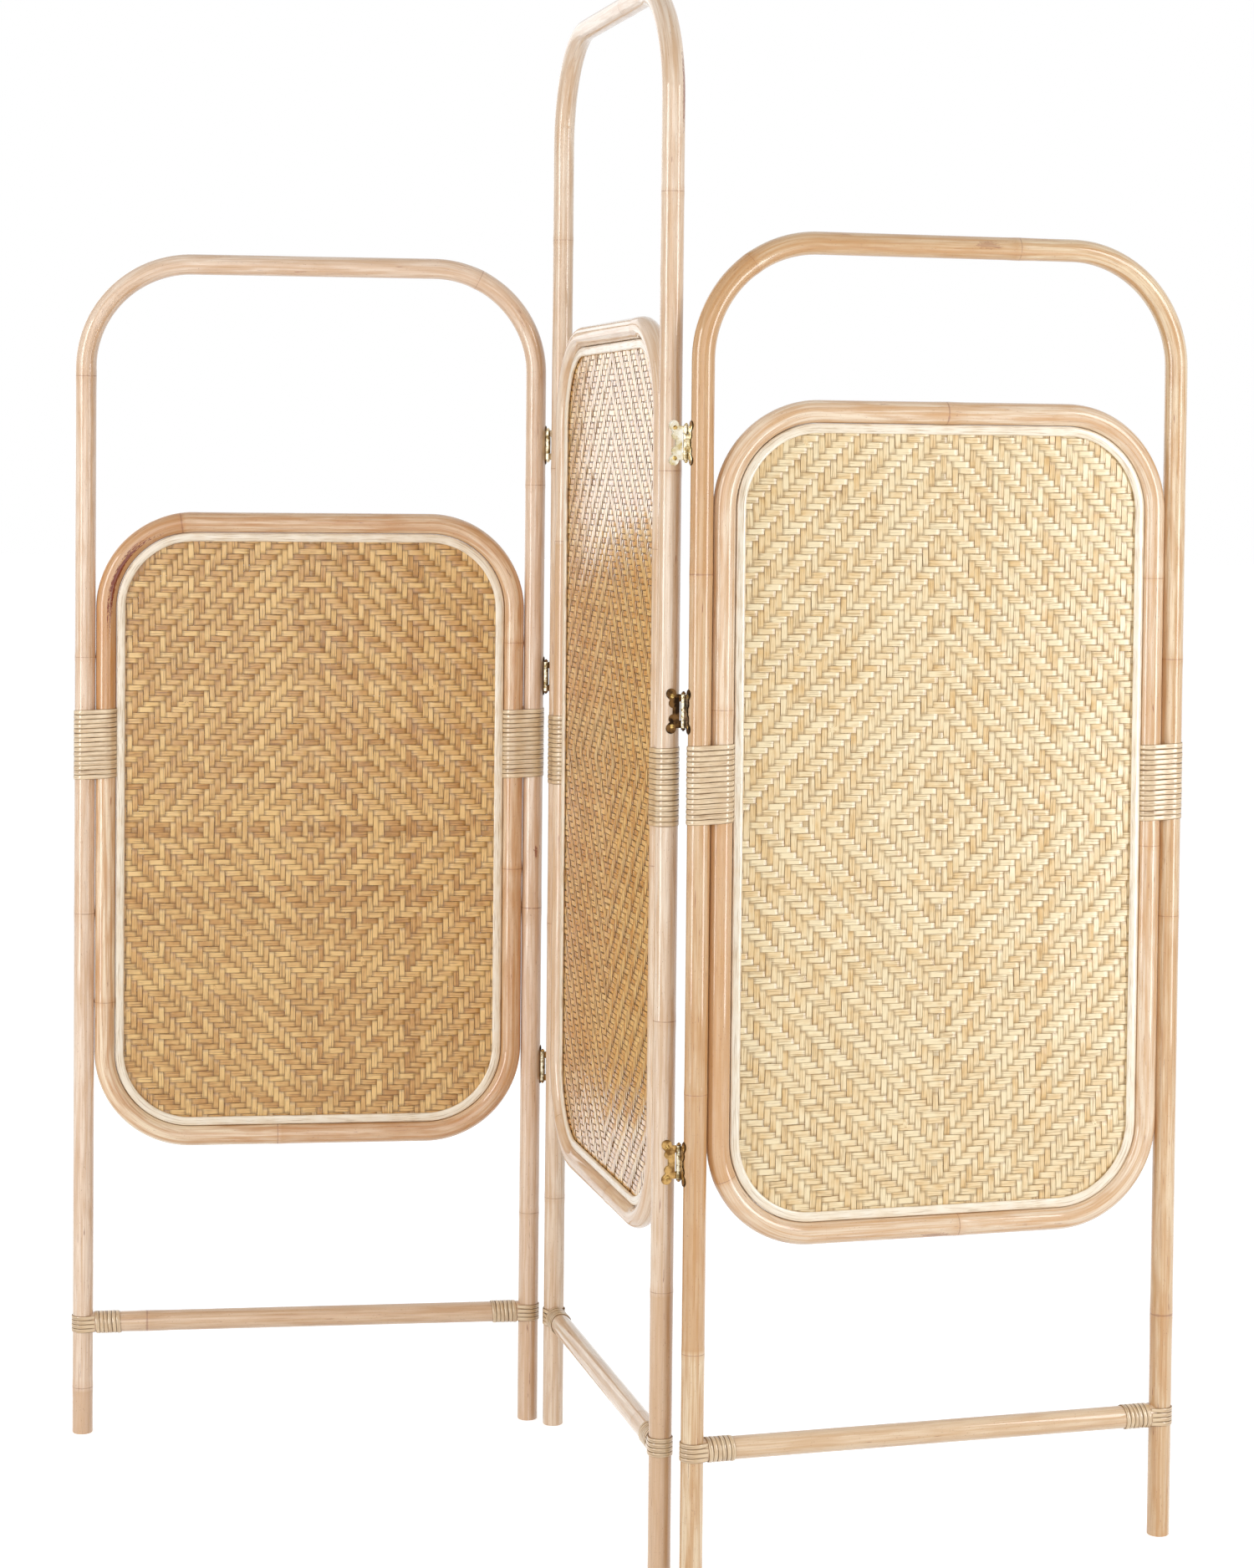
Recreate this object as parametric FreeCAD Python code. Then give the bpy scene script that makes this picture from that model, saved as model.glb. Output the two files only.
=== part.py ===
import FreeCAD, Part
import collections
import math
import os

# A folding screen of three leaves. Each leaf is an arched frame of rattan pole, with a hoop that
# holds a woven panel and its beads, a rail near the feet, and bindings of flat rattan peel.
# Brass butt hinges join the leaves. Lengths are in millimetres and angles in degrees.
# Round pieces are drawn with flat sides, and bends with straight steps.

Vector = FreeCAD.Vector

# Poles and leaves
pole_diameter = 26.0
pole_sides = 12
bend_steps = 5
leaf_width = 600.0
side_leaf_height = 1510.0
middle_leaf_height = 1800.0
arch_bend_radius = 133.0
foot_chamfer = 1.5

# How far each leaf is turned from the X axis, seen from above, as the screen stands
left_leaf_turn = 7.4
middle_leaf_turn = -77.2
right_leaf_turn = 15.7

# Rails
rail_height = 142.0
rail_end_gap = 0.3

# Hoops. Each drop is from the top of the leaf to the top of its hoop
hoop_gap = 0.3
hoop_bend_radius = 110.0
side_hoop_underside = 368.0
middle_hoop_underside = 360.0
left_hoop_drop = 328.0
middle_hoop_drop = 381.0
right_hoop_drop = 188.0

# Woven panels and the beads that cover their edges
panel_thickness = 2.4
panel_gap = 0.3
bead_width = 11.0
bead_thickness = 4.5

# Peel, and the bindings that hold each hoop to its two legs, level on all leaves but for small
# differences. Their drop is from the top of the left hoop, which is the lowest
peel_thickness = 1.2
peel_seat = 0.1
turn_sides = 8
binding_peel_width = 5.4
binding_pitch = 5.9
binding_turns = 15
binding_drop = 296.0
middle_binding_drop = 5.5
right_binding_lift = 6.5

# Lashings where a rail meets a leg: straps round the leg, and turns round the rail's end
lashing_peel_width = 4.8
lashing_pitch = 5.3
lashing_turns = 6
strap_count = 4
strap_gap = 0.3

# Butt hinges. A hinge's axis stands off the pole, so that the bindings clear when the screen folds
hinge_sides = 8
hinge_seat_depth = 0.8
plate_thickness = 1.6
open_gap = 0.2
fold_gap = 0.3
upper_hinge_drop = 238.0
middle_hinge_rise = 87.0
lower_hinge_rise = 98.0
barrel_diameter = 6.6
end_knuckle_length = 8.5
middle_knuckle_length = 20.6
knuckle_gap = 0.2
knuckle_clearance = 0.4
ear_radius = 6.5
ear_reach = 14.0
ear_rise = 19.5
lobe_radius = 4.5
lobe_reach = 13.2
lobe_rise = 8.6
waist_reach = 12.6
pin_diameter = 3.0
pin_clearance = 0.05
finial_diameter = 5.6
finial_tip_diameter = 2.0
finial_length = 3.2
finial_gap = 0.2

# Screws. Their threads and points are left out
screw_sides = 6
screw_fit = 0.1
hinge_screw_head = 5.0
hinge_screw_shank = 2.6
hinge_screw_length = 14.0
hinge_screw_rise = 17.0
hinge_screw_offset = 2.0
joint_screw_head = 7.0
joint_screw_shank = 3.6
joint_screw_sink = 1.2
rail_screw_bite = 32.0
hoop_screw_bite = 18.0

cut_overrun = 2.0

# Sizes that follow from those above
pole_radius = pole_diameter / 2
half_pitch = leaf_width / 2 - pole_radius
hoop_half_pitch = half_pitch - pole_diameter - hoop_gap
left_hoop_top = side_leaf_height - left_hoop_drop
middle_hoop_top = middle_leaf_height - middle_hoop_drop
right_hoop_top = side_leaf_height - right_hoop_drop
binding_height = left_hoop_top - binding_drop
binding_reach = pole_radius + peel_seat + peel_thickness
plate_seat = pole_radius - hinge_seat_depth
axis_reach = binding_reach + open_gap
plate_gap = 2 * (axis_reach - plate_seat - plate_thickness)
axis_offset = binding_reach + fold_gap
plate_height = 2 * (ear_rise + ear_radius)
barrel_length = middle_knuckle_length + 2 * (end_knuckle_length + knuckle_gap)

Leaf = collections.namedtuple("Leaf", "name height turn hoop_underside hoop_top binding_heights")
# A hinge side: which leg of which leaf it is on, and the face that the leaves fold towards
HingeSide = collections.namedtuple("HingeSide", "leaf leg face knuckles")

left_leaf = Leaf("left_leaf", side_leaf_height, left_leaf_turn,
                 side_hoop_underside, left_hoop_top, (binding_height, binding_height))
middle_leaf = Leaf("middle_leaf", middle_leaf_height, middle_leaf_turn,
                   middle_hoop_underside, middle_hoop_top,
                   (binding_height - middle_binding_drop, binding_height))
right_leaf = Leaf("right_leaf", side_leaf_height, right_leaf_turn,
                  side_hoop_underside, right_hoop_top,
                  (binding_height + right_binding_lift, binding_height))
leaves = (left_leaf, middle_leaf, right_leaf)

LEFT_LEG, RIGHT_LEG = -1, 1
FRONT, BACK = -1, 1
hinge_lines = {
    "left_hinge": (HingeSide(left_leaf, RIGHT_LEG, FRONT, "middle"),
                   HingeSide(middle_leaf, LEFT_LEG, FRONT, "ends")),
    "right_hinge": (HingeSide(middle_leaf, RIGHT_LEG, BACK, "ends"),
                    HingeSide(right_leaf, LEFT_LEG, BACK, "middle")),
}
hinge_heights = {
    "upper": side_leaf_height - upper_hinge_drop,
    "middle": binding_height + middle_hinge_rise,
    "lower": side_hoop_underside + lower_hinge_rise,
}


# Outlines. A leaf is drawn in its own plane: X along the leaf, Z up, and Y through its thickness.
# A station is a point of an outline with the angle at which the outline faces outwards

def bend(centre_x, centre_z, radius, quarters):
    """The stations of a quarter bend that starts some quarter turns round from the X axis."""
    stations = []
    for step in range(bend_steps + 1):
        outward = math.pi / 2 * (quarters + step / bend_steps)
        x = centre_x + radius * math.cos(outward)
        z = centre_z + radius * math.sin(outward)
        stations.append((x, z, outward))
    return stations


def arch(half_width, top, radius):
    """From the right foot over the top to the left foot."""
    side, crown = half_width - radius, top - radius
    right_foot, left_foot = (half_width, 0, 0), (-half_width, 0, math.pi)
    return [right_foot] + bend(side, crown, radius, 0) + bend(-side, crown, radius, 1) + [left_foot]


def loop(half_width, bottom, top, radius):
    """A closed upright outline with four rounded corners."""
    side, crown, sole = half_width - radius, top - radius, bottom + radius
    stations = bend(side, crown, radius, 0) + bend(-side, crown, radius, 1)
    stations += bend(-side, sole, radius, 2) + bend(side, sole, radius, 3)
    return stations + stations[:1]


def face_inside(stations):
    return Part.Face(Part.makePolygon([Vector(x, 0, z) for x, z, outward in stations]))


# Solids with flat faces

def around(width, sides):
    """The corners of an even-sided round of some width, with the first corner repeated."""
    corners = []
    for number in range(sides + 1):
        angle = 2 * math.pi * (number % sides) / sides
        corners.append((width / 2 * math.cos(angle), width / 2 * math.sin(angle)))
    return corners


def skinned(rings, closed=False):
    """A solid with flat faces from each ring of corners to the next."""
    faces = []
    for ring, following in zip(rings, rings[1:]):
        for a, b, c, d in zip(ring, ring[1:], following[1:], following):
            faces.append(Part.Face(Part.makePolygon([a, b, c, d, a])))
    if not closed:
        faces.append(Part.Face(Part.makePolygon(rings[0])))
        faces.append(Part.Face(Part.makePolygon(rings[-1])))
    solid = Part.Solid(Part.Shell(faces))
    if solid.Volume < 0:
        solid.reverse()
    return solid


def upright(profile, sides):
    """A solid round the Z axis, from the widths that it has at some heights."""
    rings = []
    for height, width in profile:
        rings.append([Vector(x, y, height) for x, y in around(width, sides)])
    return skinned(rings)


def pole_ring(station, width):
    x, z, outward = station
    corners = []
    for reach, y in around(width, pole_sides):
        corners.append(Vector(x + reach * math.cos(outward), y, z + reach * math.sin(outward)))
    return corners


# Screws

def screw_body(head, shank, length, grow, overrun):
    """A countersunk screw that points along -Z with its head's face at the origin."""
    profile = [(0, head), ((shank - head) / 2, shank), (-length - grow, shank)]
    if overrun:
        profile = [(overrun, head)] + profile
    return upright([(height, width + 2 * grow) for height, width in profile], screw_sides)


def joint_screw(length, grow=0, overrun=0):
    return screw_body(joint_screw_head, joint_screw_shank, length, grow, overrun)


def hinge_screw(grow=0, overrun=0):
    return screw_body(hinge_screw_head, hinge_screw_shank, hinge_screw_length, grow, overrun)


def driven(screw, leg, height):
    """Turns a screw so that it is driven into a leg from outside, towards the leaf's middle."""
    screw.rotate(Vector(0, 0, 0), Vector(0, 1, 0), 90 * leg)
    screw.translate(Vector(leg * (half_pitch + pole_radius - joint_screw_sink), 0, height))
    return screw


def joint_screws(leaf, grow=0, overrun=0):
    """Two screws into the rail's ends and two into the hoop, all hidden by peel."""
    through_leg = pole_diameter - joint_screw_sink
    rail_screw_length = through_leg + rail_end_gap + rail_screw_bite
    hoop_screw_length = through_leg + hoop_gap + hoop_screw_bite
    screws = []
    for leg, bound_height in zip((LEFT_LEG, RIGHT_LEG), leaf.binding_heights):
        screws.append(driven(joint_screw(rail_screw_length, grow, overrun), leg, rail_height))
        screws.append(driven(joint_screw(hoop_screw_length, grow, overrun), leg, bound_height))
    return screws


def bored(shape, screws):
    """Cuts the holes of those screws that reach the shape."""
    return shape.cut(Part.makeCompound(screws))


# The pieces of one leaf

def frame_pole(leaf):
    stations = arch(half_pitch, leaf.height - pole_radius, arch_bend_radius)
    rings = [pole_ring(station, pole_diameter) for station in stations]
    for end in (0, -1):
        sole = pole_ring(stations[end], pole_diameter - 2 * foot_chamfer)
        rings[end] = [corner + Vector(0, 0, foot_chamfer) for corner in rings[end]]
        rings = [sole] + rings if end == 0 else rings + [sole]
    cutters = joint_screws(leaf, screw_fit, cut_overrun)
    for line, sides in hinge_lines.items():
        for side in sides:
            if side.leaf is leaf:
                cutters += hinge_cutters(side)
    return bored(skinned(rings), cutters)


def hoop(leaf):
    stations = loop(hoop_half_pitch, leaf.hoop_underside + pole_radius,
                    leaf.hoop_top - pole_radius, hoop_bend_radius)
    rings = [pole_ring(station, pole_diameter) for station in stations]
    return bored(skinned(rings, closed=True), joint_screws(leaf, screw_fit))


def rail(leaf):
    """A pole between the legs, its ends hollowed to sit against them."""
    rings = []
    for x in (-half_pitch, half_pitch):
        rings.append([Vector(x, y, rail_height + z) for y, z in around(pole_diameter, pole_sides)])
    pole = skinned(rings)
    hollow_width = pole_diameter + 2 * rail_end_gap
    for leg in (LEFT_LEG, RIGHT_LEG):
        hollow = upright([(-pole_diameter, hollow_width), (pole_diameter, hollow_width)], pole_sides)
        hollow.translate(Vector(leg * half_pitch, 0, rail_height))
        pole = pole.cut(hollow)
    return bored(pole, joint_screws(leaf, screw_fit))


def inside_hoop(leaf, inset):
    """The face that lies inset from the inner side of the hoop's pole."""
    inward = pole_radius + inset
    return face_inside(loop(hoop_half_pitch - inward, leaf.hoop_underside + pole_radius + inward,
                            leaf.hoop_top - pole_radius - inward, hoop_bend_radius - inward))


def notched(sheet, leaf):
    """Cuts shallow notches for the bindings, which pass inside the hoop."""
    notch_height = binding_turns * binding_pitch + binding_peel_width + 2 * panel_gap
    notch_reach = binding_reach + panel_gap
    for leg, height in zip((LEFT_LEG, RIGHT_LEG), leaf.binding_heights):
        corner = Vector(leg * hoop_half_pitch - notch_reach, -pole_radius, height - notch_height / 2)
        sheet = sheet.cut(Part.makeBox(2 * notch_reach, pole_diameter, notch_height, corner))
    return sheet


def panel(leaf):
    sheet = inside_hoop(leaf, panel_gap).extrude(Vector(0, panel_thickness, 0))
    sheet.translate(Vector(0, -panel_thickness / 2, 0))
    return notched(sheet, leaf)


def bead(leaf, face):
    band = inside_hoop(leaf, panel_gap).cut(inside_hoop(leaf, panel_gap + bead_width))
    strip = band.extrude(Vector(0, face * bead_thickness, 0))
    strip.translate(Vector(0, face * panel_thickness / 2, 0))
    return notched(strip, leaf)


# Peel. A turn has eight flat sides, of which the two long ones bridge the poles that it binds

def peel_ring(angle, shift):
    """The inner and outer corner of a peel turn at one angle round a pole's centre."""
    lean = math.cos(math.pi / turn_sides)
    reaches = ((pole_radius + peel_seat) / lean, binding_reach / lean)
    return [(shift + reach * math.cos(angle), reach * math.sin(angle)) for reach in reaches]


def turn_corners(spread):
    """The corners of one turn round two poles whose centres are spread apart."""
    corners = []
    for number in range(turn_sides):
        angle = 2 * math.pi * (number + 0.5) / turn_sides - math.pi / 2
        shift = spread / 2 if number < turn_sides / 2 else -spread / 2
        corners.append(peel_ring(angle, shift))
    return corners


def between(first, second):
    return [((a[0] + b[0]) / 2, (a[1] + b[1]) / 2) for a, b in zip(first, second)]


def peel_section(corner, low, width):
    """The peel's cross-section where it stands at one corner, as four points."""
    (inner_x, inner_y), (outer_x, outer_y) = corner
    high = low + width
    return [Vector(inner_x, inner_y, low), Vector(inner_x, inner_y, high),
            Vector(outer_x, outer_y, high), Vector(outer_x, outer_y, low)]


def lofted(sections):
    rings = [Part.makePolygon(points + points[:1]) for points in sections]
    return Part.makeLoft(rings, True, True)


def least_gap(sections, steps):
    """The least distance from one turn's upper edge to the next turn's lower edge."""
    gaps = []
    for lower, upper in zip(sections, sections[steps:]):
        gaps.append((upper[0] - lower[1]).Length)
        gaps.append((upper[3] - lower[2]).Length)
    return min(gaps)


def winding(spread, turns, pitch, width):
    """One unbroken peel wound up the Z axis, its ends on the middle of a flat side."""
    corners = turn_corners(spread)
    start = between(corners[-1], corners[0])
    route = [start] + corners * turns + [start]
    lengths = [math.dist(a[1], b[1]) for a, b in zip(route, route[1:])]
    rise_per_length = turns * pitch / sum(lengths)
    travelled = 0
    sections = [peel_section(route[0], 0, width)]
    for corner, length in zip(route[1:], lengths):
        travelled += length
        sections.append(peel_section(corner, travelled * rise_per_length, width))
    print("least gap of a winding of %d turns: %.2f mm" % (turns, least_gap(sections, turn_sides)))
    body = lofted(sections)
    body.translate(Vector(0, 0, -(turns * pitch + width) / 2))
    return body


def bindings(leaf):
    """The two windings that hold the hoop to the legs."""
    spread = half_pitch - hoop_half_pitch
    wound = []
    for leg, height in zip((LEFT_LEG, RIGHT_LEG), leaf.binding_heights):
        turns = winding(spread, binding_turns, binding_pitch, binding_peel_width)
        if leg == RIGHT_LEG:
            turns.rotate(Vector(0, 0, 0), Vector(0, 0, 1), 180)
        turns.translate(Vector(leg * (half_pitch + hoop_half_pitch) / 2, 0, height))
        wound.append(turns)
    return Part.makeCompound(wound)


def strap(low):
    """One peel strap round the outside of a left leg, with both ends reaching along the rail."""
    reach = pole_radius + strap_gap
    inner, outer = pole_radius + peel_seat, binding_reach
    step = 2 * math.pi / turn_sides
    front_end = [(reach, -inner), (reach, -outer)]
    back_end = [(reach, inner), (reach, outer)]
    bends = []
    for number in range(turn_sides // 2):
        bends.append(peel_ring(-math.pi / 2 - step * (number + 0.5), 0))
    route = [front_end] + bends + [back_end]
    return lofted([peel_section(corner, low, lashing_peel_width) for corner in route])


def lashing(leg):
    """The straps and the winding where the rail meets one leg."""
    pieces = []
    stack = (strap_count - 1) * lashing_pitch + lashing_peel_width
    for number in range(strap_count):
        pieces.append(strap(number * lashing_pitch - stack / 2))
    turns = winding(0, lashing_turns, lashing_pitch, lashing_peel_width)
    turns.rotate(Vector(0, 0, 0), Vector(0, 1, 0), 90)
    wound_length = lashing_turns * lashing_pitch + lashing_peel_width
    turns.translate(Vector(pole_radius + 2 * strap_gap + wound_length / 2, 0, 0))
    pieces.append(turns)
    joined = Part.makeCompound(pieces)
    if leg == RIGHT_LEG:
        joined.rotate(Vector(0, 0, 0), Vector(0, 0, 1), 180)
    joined.translate(Vector(leg * half_pitch, 0, rail_height))
    return joined


def lashings(leaf):
    solids = []
    for leg in (LEFT_LEG, RIGHT_LEG):
        solids += lashing(leg).Solids
    return Part.makeCompound(solids)


# Hinges. A hinge is drawn with its pin's axis on Z, and its plate on the +Y side of the axis

def barrel(diameter, low, high):
    return upright([(low, diameter), (high, diameter)], hinge_sides)


def knuckle_spans(which):
    """The heights that the knuckles of one plate take up on the barrel."""
    middle = middle_knuckle_length / 2
    if which == "middle":
        return [(-middle, middle)]
    low, high = middle + knuckle_gap, barrel_length / 2
    return [(low, high), (-high, -low)]


def plate_outline():
    """Half of a butterfly: a web with an ear and a lobe above and below the waist."""
    web = Part.makePlane(barrel_length, waist_reach, Vector(0, 0, barrel_length / 2),
                         Vector(1, 0, 0), Vector(0, 0, -1))
    rounds = []
    for way in (-1, 1):
        for radius, reach, rise in ((ear_radius, ear_reach, ear_rise),
                                    (lobe_radius, lobe_reach, lobe_rise)):
            corners = around(2 * radius, hinge_sides)
            edge = Part.makePolygon([Vector(0, reach + y, way * rise + z) for y, z in corners])
            rounds.append(Part.Face(edge))
    return web.fuse(rounds).removeSplitter()


def hinge_plate(which):
    """A plate on the -X side of the pin, with its own knuckles and room for the other plate's."""
    plate = plate_outline().extrude(Vector(-plate_thickness, 0, 0))
    plate.translate(Vector(-plate_gap / 2, 0, 0))
    other = "ends" if which == "middle" else "middle"
    for low, high in knuckle_spans(other):
        room = barrel(barrel_diameter + 2 * knuckle_clearance, low - knuckle_gap, high + knuckle_gap)
        plate = plate.cut(room)
    for low, high in knuckle_spans(which):
        plate = plate.fuse(barrel(barrel_diameter, low, high))
    bore_diameter = (pin_diameter + 2 * pin_clearance) / math.cos(math.pi / hinge_sides)
    plate = plate.cut(barrel(bore_diameter, -barrel_length, barrel_length)).removeSplitter()
    return plate.cut(Part.makeCompound(plate_screws(screw_fit, cut_overrun)))


def plate_screws(grow=0, overrun=0):
    """The two screws of one plate, driven towards -X, their heads flush with its inner face."""
    screws = []
    for way in (-1, 1):
        screw = hinge_screw(grow, overrun)
        screw.rotate(Vector(0, 0, 0), Vector(0, 1, 0), 90)
        screw.translate(Vector(-plate_gap / 2, axis_offset - hinge_screw_offset, way * hinge_screw_rise))
        screws.append(screw)
    return screws


def hinge_pin():
    """A pin whose two finials keep it in the barrel."""
    half = barrel_length / 2 + finial_gap
    top = half + finial_length
    return upright([(-top, finial_tip_diameter), (-half, finial_diameter), (-half, pin_diameter),
                    (half, pin_diameter), (half, finial_diameter), (top, finial_tip_diameter)],
                   hinge_sides)


def hung(shape, side, height):
    """Moves a hinge piece from the pin's own frame to its leg, with its plate on the leg."""
    if side.leg == LEFT_LEG:
        shape = shape.mirror(Vector(0, 0, 0), Vector(1, 0, 0))
    if side.face == BACK:
        shape = shape.mirror(Vector(0, 0, 0), Vector(0, 1, 0))
    shape.translate(Vector(side.leg * (half_pitch + axis_reach), side.face * axis_offset, height))
    return shape


def hinge_cutters(side):
    """The flats and the screw holes that the hinges of one leg need in its pole."""
    cutters = []
    seat_height = plate_height + 2 * knuckle_clearance
    seat = Part.makeBox(pole_diameter, 2 * pole_diameter, seat_height,
                        Vector(plate_seat - axis_reach, -pole_diameter, -seat_height / 2))
    for height in hinge_heights.values():
        cutters.append(hung(seat.copy(), side, height))
        for screw in plate_screws(screw_fit, cut_overrun):
            cutters.append(hung(screw, side, height))
    return cutters


def hinge_line(name, sides):
    """All the pieces of three hinges, each with the leaf that it belongs to."""
    pieces = []
    for level, height in hinge_heights.items():
        for side in sides:
            plate = hung(hinge_plate(side.knuckles), side, height)
            pieces.append((side.leaf, "%s_%s_plate_on_%s" % (level, name, side.leaf.name), plate))
        pin_side = [side for side in sides if side.knuckles == "ends"][0]
        pieces.append((pin_side.leaf, "%s_%s_pin" % (level, name), hung(hinge_pin(), pin_side, height)))
    for side in sides:
        screws = []
        for height in hinge_heights.values():
            screws += [hung(screw, side, height) for screw in plate_screws()]
        pieces.append((side.leaf, "%s_screws_in_%s" % (name, side.leaf.name), Part.makeCompound(screws)))
    return pieces


# Plan. The leaves hang on each other at their hinge axes

def turned(leaf, x, y):
    """A leaf's own X and Y turned into the plan's directions."""
    angle = math.radians(leaf.turn)
    return Vector(x * math.cos(angle) - y * math.sin(angle), x * math.sin(angle) + y * math.cos(angle), 0)


def axis_place(side):
    return turned(side.leaf, side.leg * (half_pitch + axis_reach), side.face * axis_offset)


def leaf_centres():
    """The middle of each leaf on the floor, with the middle of the whole screen at the origin."""
    left_side, middle_left_side = hinge_lines["left_hinge"]
    middle_right_side, right_side = hinge_lines["right_hinge"]
    centres = {
        "left_leaf": axis_place(middle_left_side) - axis_place(left_side),
        "middle_leaf": Vector(0, 0, 0),
        "right_leaf": axis_place(middle_right_side) - axis_place(right_side),
    }
    feet = []
    for leaf in leaves:
        for leg in (LEFT_LEG, RIGHT_LEG):
            feet.append(centres[leaf.name] + turned(leaf, leg * half_pitch, 0))
    middle_x = (min(foot.x for foot in feet) + max(foot.x for foot in feet)) / 2
    middle_y = (min(foot.y for foot in feet) + max(foot.y for foot in feet)) / 2
    return {name: centre - Vector(middle_x, middle_y, 0) for name, centre in centres.items()}


def stood(shape, leaf):
    """Turns a piece with its leaf and sets it in its place on the floor."""
    shape.rotate(Vector(0, 0, 0), Vector(0, 0, 1), leaf.turn)
    shape.translate(leaf_centres()[leaf.name])
    return shape


def leaf_pieces(leaf):
    return [
        (leaf, leaf.name + "_frame_pole", frame_pole(leaf)),
        (leaf, leaf.name + "_hoop", hoop(leaf)),
        (leaf, leaf.name + "_rail", rail(leaf)),
        (leaf, leaf.name + "_woven_panel", panel(leaf)),
        (leaf, leaf.name + "_front_bead", bead(leaf, FRONT)),
        (leaf, leaf.name + "_back_bead", bead(leaf, BACK)),
        (leaf, leaf.name + "_bindings", bindings(leaf)),
        (leaf, leaf.name + "_rail_lashings", lashings(leaf)),
        (leaf, leaf.name + "_joint_screws", Part.makeCompound(joint_screws(leaf))),
    ]


def build():
    """Every piece of the screen by its name, in its place."""
    pieces = []
    for leaf in leaves:
        pieces += leaf_pieces(leaf)
    for name, sides in hinge_lines.items():
        pieces += hinge_line(name, sides)
    return {name: stood(shape, leaf) for leaf, name, shape in pieces}


parts = build()
os.makedirs("parts", exist_ok=True)
for name, shape in parts.items():
    shape.exportStep("parts/%s.step" % name)
print("%d pieces" % len(parts))
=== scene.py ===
"""A rattan folding screen with three leaves. All lengths are in metres."""

import collections
import functools
import math

import bmesh
import bpy
from mathutils import Matrix, Vector


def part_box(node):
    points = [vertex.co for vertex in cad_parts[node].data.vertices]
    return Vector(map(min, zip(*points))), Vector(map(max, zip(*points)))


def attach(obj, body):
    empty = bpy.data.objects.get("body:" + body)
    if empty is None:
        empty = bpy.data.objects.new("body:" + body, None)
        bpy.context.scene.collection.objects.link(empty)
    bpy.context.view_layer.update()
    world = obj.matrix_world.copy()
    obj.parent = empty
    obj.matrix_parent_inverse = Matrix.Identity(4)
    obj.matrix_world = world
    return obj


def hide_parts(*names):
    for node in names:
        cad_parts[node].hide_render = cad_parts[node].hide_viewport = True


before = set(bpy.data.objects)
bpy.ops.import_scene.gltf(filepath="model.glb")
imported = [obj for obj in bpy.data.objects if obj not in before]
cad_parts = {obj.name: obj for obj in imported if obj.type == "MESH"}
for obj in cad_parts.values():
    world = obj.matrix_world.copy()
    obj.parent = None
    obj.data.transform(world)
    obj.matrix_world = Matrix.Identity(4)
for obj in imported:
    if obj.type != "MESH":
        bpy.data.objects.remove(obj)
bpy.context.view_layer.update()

mm = 0.001

# Sizes of the poles and the leaves. A rail runs into its legs, and ends this far from their axes
pole_radius = 13 * mm
pole_sides = 28
pole_step = 6 * mm
bend_steps = 90
leaf_width = 600 * mm
side_leaf_height = 1510 * mm
middle_leaf_height = 1800 * mm
arch_bend_radius = 133 * mm
foot_chamfer = 1.5 * mm
rail_height = 142 * mm
rail_end = 0.6 * pole_radius

# The joints of a cane. Their spacing sways by a share of itself, at a rate in radians for each joint
joint_spacing = 430 * mm
joint_length = 9 * mm
joint_swell = 0.35 * mm
joint_sway = 0.22
joint_sway_rate = 2.4

# Sizes of the hoops and of what they hold
hoop_gap = 0.3 * mm
hoop_bend_radius = 110 * mm
panel_gap = 0.3 * mm
panel_thickness = 2.4 * mm
bead_width = 11 * mm
bead_thickness = 4.5 * mm
bead_step = 8 * mm
bead_tone = 0.3

# Sizes of the weave. The flat part of a crossing is a share of the pitch
strips_over = 3
strip_pitch = 7 * mm
strip_thickness = 0.75 * mm
strip_lift = 0.75 * mm
crossing_share = 0.62
merge_distance = 0.01 * mm
crease_angle = 1
weave_seed = 11

# How unevenly the hand weaves: strips sway together, and each has its own tilt and breadth. The rates
# are for each strip, for each metre along it and for each way of the weave
strip_sway = 3 * mm
strip_tilt = 0.16 * mm
least_breadth = 0.96
sway_rates = (0.25, 14, 1)
own_rates = (3.7, 30, 1)

# Sizes of the wound peel. A turn strays by its unevenness, which changes at a rate for each metre
Winding = collections.namedtuple("Winding", "turns pitch width unevenness tone")
binding = Winding(15, 5.9 * mm, 5.7 * mm, 0.7 * mm, 0.35)
lashing = Winding(6, 5.3 * mm, 5.1 * mm, 0.8 * mm, 0.4)
peel_thickness = 1.2 * mm
peel_crown = 0.3 * mm
peel_seat = 0.1 * mm
peel_bend_steps = 12
turn_samples = 36
coil_rates = (55, 55, 0)
valley_depth = 0.8 * mm
strap_count = 4
strap_gap = 0.3 * mm
strap_step = 2 * mm
strap_end = pole_radius + 2 * mm
strap_shoulder = 0.45 * pole_radius

# Sizes of the hinges
open_gap = 0.2 * mm
fold_gap = 0.3 * mm
plate_thickness = 1.6 * mm
plate_gap = 1.4 * mm
plate_rim = 0.75 * mm
barrel_radius = 3.3 * mm
barrel_rim = 0.35 * mm
end_knuckle_length = 8.5 * mm
middle_knuckle_length = 20.6 * mm
knuckle_gap = 0.2 * mm
knuckle_room = 3.9 * mm
ear_radius, ear_reach, ear_rise = 6 * mm, 13.8 * mm, 19.4 * mm
lobe_radius, lobe_reach, lobe_rise = 5.5 * mm, 11.2 * mm, 8.8 * mm
pin_radius = 1.5 * mm
bud_radius = 2.8 * mm
bud_length = 3.2 * mm
bud_gap = 0.2 * mm
screw_head = 5 * mm
screw_dome = 0.45 * mm
screw_slot = 0.7 * mm
screw_rise = 17 * mm
screw_offset = 2 * mm
screw_seed = 5
sharp_angle = math.radians(40)

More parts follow.
